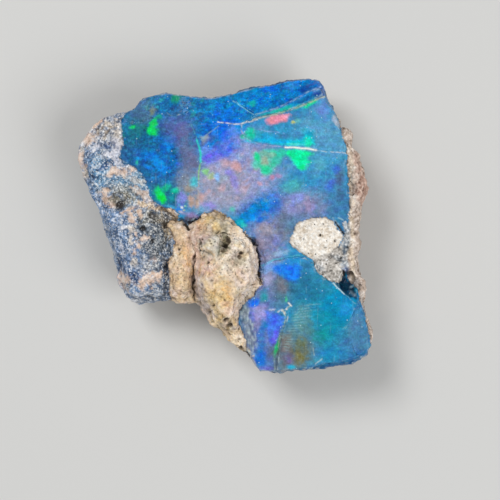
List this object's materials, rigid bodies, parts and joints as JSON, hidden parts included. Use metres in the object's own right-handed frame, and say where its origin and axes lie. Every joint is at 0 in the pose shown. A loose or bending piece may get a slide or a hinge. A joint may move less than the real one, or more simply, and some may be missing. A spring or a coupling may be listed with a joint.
{
  "type": "rough black opal",
  "caption": "Rough black opal lying on its back: a dark colour face with blue and green flashes, tan host rock lumps and grey potch.",
  "frame": {"origin": "under the middle of the stone's outline, on the plane of the flat patch that it rests on", "axes": "+Z out of the colour face and up as it lies, +Y towards the edge with the blue strip, +X towards the edge with the rock crust"},
  "size_m": [0.0208, 0.0208, 0.0073],
  "materials": {
    "opal_stone": "uncut dark opal with a waxy broken face, beside matt tan host rock and grey potch"
  },
  "bodies": {
    "root": {"rough_opal": "opal_stone"}
  },
  "joints": []
}
